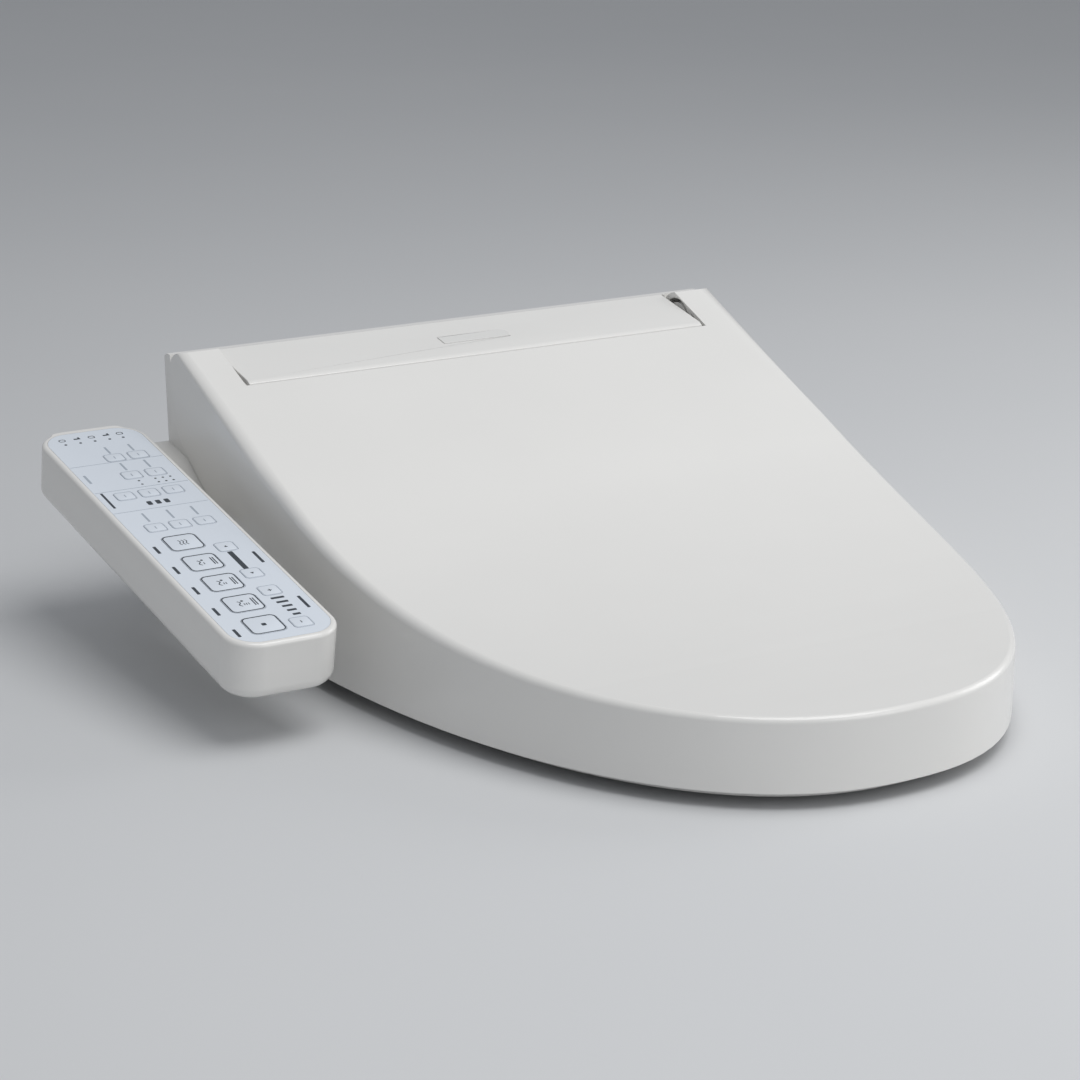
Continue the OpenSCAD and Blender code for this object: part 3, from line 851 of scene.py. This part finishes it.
# ---------------------------------------------------------------- sub-assemblies
@dataclass
class Lid:
    """The lid: a thin shell whose long slope runs out to a level front, with two ears at the back."""

    rim_rear: float = 8.0 * MM
    rim_front: float = 3.6 * MM
    lower_edge: float = 0.8 * MM
    bumper_edge: float = 1.5 * MM
    rim_end: float = 34 * MM
    taper_from: float = 20 * MM
    taper_share: float = 0.35

    def build(self) -> None:
        """Makes the shell and its bumpers."""
        shell = Bench.cast("lid_shell", "lid_skin")
        low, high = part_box("lid_shell")
        half, front, rear = high[0], low[1], high[1]
        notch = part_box("top_panel")[0][1]

        def share(edge: Edge, upper: Face, lower: Face) -> float:
            """How much of the rim's widest radius an edge gets.

            Args:
                edge: an edge.
                upper: its upper face.
                lower: its lower face.

            Returns:
                The share, 0 to 1.
            """
            middle = (edge.verts[0].co + edge.verts[1].co) / 2
            outside = [f for f in (upper, lower) if abs(f.normal.z) < 0.05
                       and (f.normal.x * middle.x > 0 or f.normal.y < -0.3)]
            at_side = abs(middle.x) > half - 0.5 * MM
            if not outside or (middle.y > notch - 2 * MM and not at_side):
                return 0.0
            if middle.z < low[2] + 0.1 * MM:
                return self.lower_edge / self.rim_rear
            if upper.normal.z < 0.9 or middle.y > self.rim_end:
                return 0.0
            along = (middle.y - front) / (rear - front)
            grown = max(0.0, min(1.0, along * 1.15 - 0.1))
            radius = self.rim_front + (self.rim_rear - self.rim_front) * grown
            taper = 1.0 if middle.y < self.taper_from else self.taper_share
            return radius * taper / self.rim_rear

        count = Bench.round_edges(shell, self.rim_rear, 6, share)
        log.info("lid rim: %d edges rounded", count)
        Bench.finish(shell, "lid", Finish.SHELL, "gloss_shell", ["lid_shell"])
        bumpers = Bench.cast("lid_bumpers", "lid_buffers")
        Bench.soften(bumpers, self.bumper_edge, 3, 50.0)
        Bench.finish(bumpers, "lid", Finish.RUBBER_GREY, "rubber_grey", ["lid_bumpers"])


@dataclass
class Softened:
    """A moulded piece whose edges are rounded as a mould leaves them."""

    node: str
    finish: Finish
    edge: float
    segments: int = 3
    angle: float = 38.0
    corner: float = 0.0

    def build(self) -> None:
        """Makes the piece."""
        piece = Bench.cast(self.node, self.node + "_skin")
        if self.corner:
            half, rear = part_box(self.node)[1][:2]

            def share(edge: Edge, upper: Face, lower: Face) -> float:
                """All of the corner's radius on the upright edges at the back, none elsewhere.

                Args:
                    edge: an edge.
                    upper: its upper face.
                    lower: its lower face.

                Returns:
                    The share, 0 to 1.
                """
                return float(all(abs(v.co.x) > half - 0.2 * MM and v.co.y > rear - 0.2 * MM
                                 for v in edge.verts))

            count = Bench.round_edges(piece, self.corner, 6, share)
            log.info("%s: %d corner edges rounded", self.node, count)
        Bench.soften(piece, self.edge, self.segments, self.angle)
        Bench.finish(piece, body_with(self.node), self.finish, slot_of(self.node), [self.node])


MOULDED = [
    Softened("top_cover", Finish.SHELL, 1.2 * MM, 4, corner=5.5 * MM),
    Softened("top_panel", Finish.SHELL, 0.9 * MM, 4),
    Softened("badge_plate", Finish.BADGE, 0.25 * MM, 3),
    Softened("base_case", Finish.SHELL, 1.0 * MM, corner=5.5 * MM),
    Softened("base_feet", Finish.RUBBER_DARK, 1.2 * MM),
    Softened("mounting_plate", Finish.PLATE, 0.8 * MM),
    Softened("release_button", Finish.GREY, 0.6 * MM),
    Softened("seat_top", Finish.SHELL, 4.5 * MM, 6),
    Softened("seat_base", Finish.CASE, 2.2 * MM, 4),
    Softened("seat_bumpers", Finish.RUBBER_GREY, 1.2 * MM),
    Softened("water_tank", Finish.TANK, 2.0 * MM, 4),
    Softened("inlet_valve", Finish.BLACK, 1.0 * MM),
    Softened("wand_guide", Finish.GREY, 0.7 * MM),
    Softened("wand_gate", Finish.CASE, 0.6 * MM),
    Softened("dryer_housing", Finish.GREY, 0.8 * MM),
    Softened("dryer_duct", Finish.GREY, 0.5 * MM),
    Softened("dryer_flap", Finish.CASE, 0.3 * MM),
    Softened("main_board", Finish.BOARD, 0.2 * MM, 1),
    Softened("soft_close_dampers", Finish.BLACK, 1.2 * MM),
    Softened("wand_motor", Finish.STEEL, 0.8 * MM),
    Softened("dryer_motor", Finish.STEEL, 1.0 * MM),
    Softened("tank_heater", Finish.COPPER, 0.8 * MM),
    Softened("drain_plug", Finish.GREY, 0.6 * MM),
    Softened("cord_gland", Finish.RUBBER_DARK, 0.5 * MM),
]


@dataclass(frozen=True)
class Mark:
    """A printed bar of the film: its middle across and along the arm and its size, in millimetres."""

    x: float
    s: float
    width: float
    length: float
    finish: Finish = Finish.INK


# Level bars, slider, row of squares, dividers, labels at both sides, and labels over the small keys
LEVEL_END = 18.5
MARKS = [
    *(Mark(LEVEL_END - w / 2, s, w, 2.2)
      for s, w in ((49.6, 8.5), (44.1, 7.5), (38.7, 6.5), (33.2, 6.0), (27.8, 5.0))),
    Mark(13.2, 101, 3.4, 24),
    *(Mark(x, 189.4, 3.2, 5.2) for x in (-4.6, 1.1, 6.8)),
    *(Mark(0, s, 62, 0.4, Finish.HAIRLINE) for s in (182, 212, 251)),
    *(Mark(-26.6, s - 4.5, 2.0, 9.5) for s in (22, 49.6, 77.4, 105, 133)),
    *(Mark(26.4, s, 2.0, 15) for s in (40, 101)),
    *(Mark(x, 171.5, 1.4, 12, Finish.HAIRLINE) for x in (-15, 1, 17)),
    Mark(-27.5, 200, 1.6, 22),
    Mark(-27.5, 232, 1.6, 12, Finish.HAIRLINE),
    *(Mark(x, s, 1.4, length, Finish.HAIRLINE) for x in (1, 17) for s, length in ((243, 11), (268.5, 10))),
]
# Lamps and the row of status signs, in millimetres
LAMPS = [(2, 221), (2, 215.7), (13, 221), (18, 221), (23, 221), (13, 215.7), (18, 215.7), (23, 215.7)]
LAMP_RADIUS = 0.8
STATUS_COLUMNS = (-20.5, -10.5, -0.7, 9.3, 18.5)
STATUS_SIGNS, STATUS_LAMPS, STATUS_LAMP_RADIUS = 290.5, 284.2, 0.95


@dataclass
class ControlArm:
    """The arm beside the seat: its case, its printed film and its keys."""

    corner: float = 20 * MM
    rim: float = 2.6 * MM
    foot: float = 8 * MM
    split: float = 16 * MM
    ink_rise: float = 0.05 * MM
    key_rise: float = 0.18 * MM
    key_radius: float = 4.0 * MM
    small_radius: float = 2.4 * MM
    flange: float = 0.8 * MM
    cap_lift: float = 2 * MM
    cap_rim: float = 0.12 * MM
    large_from: float = 15 * MM
    outline_inset: float = 0.2 * MM
    large_stroke: float = 0.85 * MM
    small_stroke: float = 0.35 * MM
    support_gap: float = 0.05 * MM
    support_t: float = 2.25 * MM
    support_reach: float = 24 * MM
    support_inset: float = 1.2 * MM
    support_bottom: float = -32 * MM
    support_top: float = -13.4 * MM
    place: Matrix = field(init=False)
    tilt: float = field(init=False)
    length: float = field(init=False)
    width: float = field(init=False)
    depth: float = field(init=False)

    def __post_init__(self) -> None:
        """Finds the arm's own axes from the frame."""
        press = next(j for j in frame["joints"] if j["name"] == "press_stop")
        self.tilt = math.atan2(press["axis"][1], -press["axis"][2])
        low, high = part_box("arm_upper")
        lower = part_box("arm_lower")[0]
        self.width = high[0] - low[0]
        front_z = low[2] + self.split * math.cos(self.tilt)
        self.place = (Matrix.Translation(((low[0] + high[0]) / 2, low[1], front_z))
                      @ Matrix.Rotation(self.tilt, 4, "X"))
        self.depth = (front_z - lower[2]) / math.cos(self.tilt)
        self.length = (high[1] - low[1]) / math.cos(self.tilt)

    def local_box(self, node: str) -> tuple[Vector, Vector]:
        """A node's lowest and highest corners along the arm's own axes.

        Args:
            node: a CAD node.

        Returns:
            Lowest and highest corner.
        """
        back = self.place.inverted()
        points = [back @ v.co for v in frame["nodes"][node].data.vertices]
        return (Vector([min(p[i] for p in points) for i in range(3)]),
                Vector([max(p[i] for p in points) for i in range(3)]))

    def set_in_place(self, obj: bpy.types.Object) -> bpy.types.Object:
        """Carries a piece from the arm's own axes to the object's.

        Args:
            obj: a piece.

        Returns:
            The piece.
        """
        obj.data.transform(self.place)
        return obj

    def case(self) -> None:
        """Makes the two halves of the case, which meet in a seam too fine to see."""
        back = self.place.inverted()
        levels = {"arm_upper": (0.0, self.rim), "arm_lower": (-self.depth, self.foot)}
        for node, (level, radius) in levels.items():
            half = Bench.cast(node, node + "_skin")

            def share(edge: Edge, upper: Face, lower: Face) -> float:
                """All of the radius on the outer edge of this half, and none elsewhere.

                Args:
                    edge: an edge.
                    upper: its upper face.
                    lower: its lower face.

                Returns:
                    The share, 0 to 1.
                """
                ends = [back @ v.co for v in edge.verts]
                if any(abs(p.z - level) > 0.1 * MM or p.y > self.length - 1.5 * MM for p in ends):
                    return 0.0
                return 1.0 if all(self.on_outline(p) for p in ends) else 0.0

            count = Bench.round_edges(half, radius, 7, share)
            log.info("%s: %d edges rounded", node, count)
            Bench.finish(half, "main_unit", Finish.SHELL, "gloss_shell", [node])

    def on_outline(self, point: Vector) -> bool:
        """Is a point, in the arm's own axes, on the outline of its plan?

        Args:
            point: the point.

        Returns:
            True if it is.
        """
        across = max(abs(point.x) - (self.width / 2 - self.corner), 0.0)
        beyond = max(self.corner - point.y, point.y - (self.length - self.corner), 0.0)
        return abs(math.hypot(across, beyond) - self.corner) < 0.4 * MM

    def support_end(self) -> None:
        """Closes the end of the hollow support where the arm's round corner leaves it bare."""
        side = self.width / 2
        reach, bottom, top = self.support_reach, self.support_bottom, self.support_top
        low = (side + self.support_gap, self.length - reach, bottom)
        high = (side + self.support_gap + self.support_t, self.length - self.support_inset, top)
        end = Bench.slab("support_end", low, high, 0.0)
        for v in end.data.vertices:
            if v.co.y > self.length - reach / 2:
                v.co.y += v.co.z * math.tan(self.tilt)
        self.set_in_place(end)
        Bench.finish(end, "main_unit", Finish.SHELL, "gloss_shell")

    def film(self) -> None:
        """Makes the film that covers the top of the arm."""
        film = Bench.cast("panel_overlay", "panel_film")
        Bench.soften(film, 0.15 * MM, 1, 50.0)
        Bench.finish(film, "main_unit", Finish.FILM, "film", ["panel_overlay"])

    def bar(self, at: Pair, size: Pair, finish: Finish = Finish.INK, level: float = 0.0) -> bpy.types.Object:
        """A printed bar.

        Args:
            at: its middle.
            size: its size.
            finish: what the surface is like.
            level: level of its foot.

        Returns:
            The bar.
        """
        low = (at[0] - size[0] / 2, at[1] - size[1] / 2, level)
        high = (at[0] + size[0] / 2, at[1] + size[1] / 2, level + self.ink_rise)
        bar = Bench.slab("bar", low, high, min(size) * 0.22, steps=3)
        PAINTS.dress(bar, finish)
        return bar

    def icon(self, node: str, centre: Pair, level: float) -> list[bpy.types.Object]:
        """The print on a key, drawn as plain signs.

        Args:
            node: the key's CAD node.
            centre: middle of the key.
            level: level of its top.

        Returns:
            The pieces of the sign.
        """
        x, y = centre
        ink = self.ink_rise
        made: list[bpy.types.Object] = []
        if node == "key_stop":
            made.append(self.bar((x, y), (2.9 * MM, 2.9 * MM), level=level))
        elif node == "key_dryer":
            made += [Bench.wave("warm_air", (x + i * 2.1 * MM, y), 6.4 * MM, 0.5 * MM, 0.62 * MM, level, ink)
                     for i in (-1, 0, 1)]
        elif node in ("key_rear", "key_soft", "key_front"):
            spread = {"key_rear": 3, "key_soft": 2, "key_front": 1}[node]
            made.append(Bench.wave("spray", (x - 2.2 * MM, y - 0.5 * MM), 6.2 * MM, 0.75 * MM, 0.8 * MM,
                                   level, ink))
            made.append(Bench.disc("drop", (x + 0.2 * MM, y + 2.6 * MM), 0.85 * MM, level, ink))
            made += [self.bar((x + (0.2 + i * 1.4) * MM, y - 1.6 * MM), (0.55 * MM, 2.2 * MM), level=level)
                     for i in range(spread)]
            made += [self.bar((x + (6.2 + i * 1.5) * MM, y), (0.75 * MM, 9.0 * MM), level=level)
                     for i in (0, 1)]
        elif node == "key_pressure_up":
            made += [self.bar((x, y), (2.6 * MM, 0.6 * MM), level=level),
                     self.bar((x, y), (0.6 * MM, 2.6 * MM), level=level)]
        elif node == "key_pressure_down":
            made.append(self.bar((x, y), (0.6 * MM, 2.4 * MM), level=level))
        elif node in ("key_position_up", "key_position_down"):
            turn = 0.0 if node.endswith("up") else math.pi
            made.append(Bench.disc("arrow", (x, y), 1.35 * MM, level, ink, 3, turn))
        else:
            made.append(self.bar((x, y), (0.7 * MM, 3.4 * MM), Finish.HAIRLINE, level))
        for piece in made:
            if not piece.data.materials:
                PAINTS.dress(piece, Finish.INK)
        return made

    def key(self, node: str) -> None:
        """Makes one key: a low cap with a printed outline and sign.

        Args:
            node: the key's CAD node.
        """
        low, high = self.local_box(node)
        size = (high.x - low.x - 2 * self.flange, high.y - low.y - 2 * self.flange)
        centre = ((low.x + high.x) / 2, (low.y + high.y) / 2)
        large = size[0] > self.large_from
        corner = self.key_radius if large else self.small_radius
        foot = (centre[0] - size[0] / 2, centre[1] - size[1] / 2, low.z + self.cap_lift)
        head = (centre[0] + size[0] / 2, centre[1] + size[1] / 2, self.key_rise)
        cap = Bench.slab(node + "_cap", foot, head, corner, self.cap_rim)
        PAINTS.dress(cap, Finish.KEY)
        inset = self.outline_inset
        stroke = self.large_stroke if large else self.small_stroke
        inner = (size[0] - 2 * inset, size[1] - 2 * inset)
        ring = Bench.hoop("outline", inner, centre, corner - inset, stroke, self.key_rise, self.ink_rise)
        PAINTS.dress(ring, Finish.INK if large else Finish.HAIRLINE)
        piece = Bench.join(node + "_cap", [cap, ring, *self.icon(node, centre, self.key_rise)])
        self.set_in_place(piece)
        Bench.finish(piece, body_with(node), None, "key_cap", [node])

    def printed(self) -> None:
        """Prints the film: level bars, slider, dividers, plain label bars, lamps and their signs."""
        made = [self.bar((m.x * MM, m.s * MM), (m.width * MM, m.length * MM), m.finish) for m in MARKS]
        for x, s in LAMPS:
            made.append(Bench.disc("lamp", (x * MM, s * MM), LAMP_RADIUS * MM, 0.0, self.ink_rise, 16))
        made += self.status_row()
        for piece in made:
            if not piece.data.materials:
                PAINTS.dress(piece, Finish.INK)
        print_layer = Bench.join("panel_print", made)
        self.set_in_place(print_layer)
        Bench.finish(print_layer, "main_unit", None, "film")

    def status_row(self) -> list[bpy.types.Object]:
        """Five small signs with a lamp under each at the back of the panel.

        Returns:
            The pieces of the row.
        """
        made: list[bpy.types.Object] = []
        for i, x in enumerate(STATUS_COLUMNS):
            at = (x * MM, STATUS_SIGNS * MM)
            made.append(Bench.disc("status_lamp", (x * MM, STATUS_LAMPS * MM), STATUS_LAMP_RADIUS * MM, 0.0,
                                   self.ink_rise, 20))
            if i % 2 == 0:
                made.append(Bench.hoop("sign", (4.6 * MM, 3.6 * MM), at, 1.6 * MM, 0.6 * MM, 0.0,
                                       self.ink_rise))
            else:
                made.append(self.bar(at, (4.4 * MM, 1.5 * MM)))
                made.append(self.bar((at[0] + 1.4 * MM, at[1] + 1.4 * MM), (1.2 * MM, 1.8 * MM)))
        return made

    def build(self) -> None:
        """Makes the whole arm."""
        self.case()
        self.support_end()
        self.film()
        self.printed()
        for node in sorted(frame["nodes"]):
            if node.startswith("key_"):
                self.key(node)


@dataclass
class PlainParts:
    """CAD pieces whose shape is right as it is and that only need their finish."""

    finishes: dict = field(default_factory=lambda: {
        "case_screws": Finish.STEEL, "hinge_pins": Finish.STEEL, "seat_heater": Finish.HEATER,
        "inlet_fitting": Finish.BRASS, "wand": Finish.STEEL, "wand_tip": Finish.GREY,
        "wand_roller": Finish.RUBBER_DARK, "dryer_impeller": Finish.BLACK, "control_board": Finish.BOARD,
        "arm_screws": Finish.STEEL})

    def build(self) -> None:
        """Dresses each piece."""
        for node, finish in self.finishes.items():
            obj = frame["nodes"][node]
            PAINTS.dress(obj, finish)
            log.info("%s dressed as %s", node, finish.value)


@dataclass
class Studio:
    """A pale floor, soft lights and the camera."""

    eye: Sequence[float] = (-0.9498, -1.6715, 0.6036)
    azimuth: float = -30.38
    elevation: float = 18.15
    roll: float = 0.16
    lens: float = 99.3
    shift: Pair = (0.0177, 0.0653)
    aim: Sequence[float] = (-0.05, -0.2, 0.05)
    air: Sequence[float] = (0.92, 0.95, 1.0, 1.0)
    air_strength: float = 0.36
    floor_size: float = 14.0
    floor_drop: float = 0.0004

    def camera(self) -> None:
        """Adds the camera."""
        az, el = math.radians(self.azimuth), math.radians(self.elevation)
        back = Vector((math.sin(az) * math.cos(el), -math.cos(az) * math.cos(el), math.sin(el)))
        data = bpy.data.cameras.new("studio_camera")
        data.lens = self.lens
        data.sensor_width = 36.0
        data.shift_x, data.shift_y = self.shift
        data.clip_end = 50.0
        camera = bpy.data.objects.new("studio_camera", data)
        bpy.context.scene.collection.objects.link(camera)
        turn = back.to_track_quat("Z", "Y").to_matrix().to_4x4()
        roll = Matrix.Rotation(math.radians(self.roll), 4, "Z")
        camera.matrix_world = Matrix.Translation(self.eye) @ turn @ roll
        bpy.context.scene.camera = camera

    def light(self, name: str, at: Sequence[float], size: float, power: float) -> None:
        """Adds a soft light that faces the object.

        Args:
            name: the light's name.
            at: its place.
            size: its width.
            power: watts.
        """
        data = bpy.data.lights.new(name, "AREA")
        data.shape = "DISK"
        data.size = size
        data.energy = power
        lamp = bpy.data.objects.new(name, data)
        bpy.context.scene.collection.objects.link(lamp)
        aim = Vector(self.aim) - Vector(at)
        lamp.matrix_world = Matrix.Translation(at) @ aim.to_track_quat("-Z", "Y").to_matrix().to_4x4()

    def floor(self) -> None:
        """Adds the floor."""
        bpy.ops.object.select_all(action="DESELECT")
        bpy.ops.mesh.primitive_plane_add(size=self.floor_size, location=(0, 0, -self.floor_drop))
        floor = bpy.context.object
        floor.name = "studio_floor"
        bpy.ops.object.transform_apply(location=True)
        recipe = Recipe("floor_paper")
        cloud = recipe.noise(1.5, 3.0)
        recipe.vary("Base Color", recipe.blend(cloud, (0.62, 0.63, 0.64), (0.66, 0.665, 0.67)))
        recipe.fixed(Roughness=0.75)
        floor.data.materials.append(recipe.material)

    def build(self) -> None:
        """Sets the whole studio."""
        self.camera()
        self.floor()
        self.light("soft_top", (0.25, -0.85, 2.0), 1.7, 24.0)
        self.light("soft_front", (0.7, -2.3, 0.9), 1.5, 8.0)
        self.light("soft_right", (1.9, -0.5, 0.8), 1.2, 8.0)
        world = bpy.data.worlds.new("studio_air")
        world.use_nodes = True
        world.node_tree.nodes["Background"].inputs[0].default_value = self.air
        world.node_tree.nodes["Background"].inputs[1].default_value = self.air_strength
        bpy.context.scene.world = world
        bpy.context.scene.view_settings.view_transform = "Standard"


def main() -> None:
    """Builds every sub-assembly in order."""
    logging.basicConfig(level=logging.INFO, format="%(name)s: %(message)s")
    Studio().build()
    Lid().build()
    for piece in MOULDED:
        piece.build()
    ControlArm().build()
    PlainParts().build()
    bpy.context.view_layer.update()


if __name__ == "__main__":
    main()
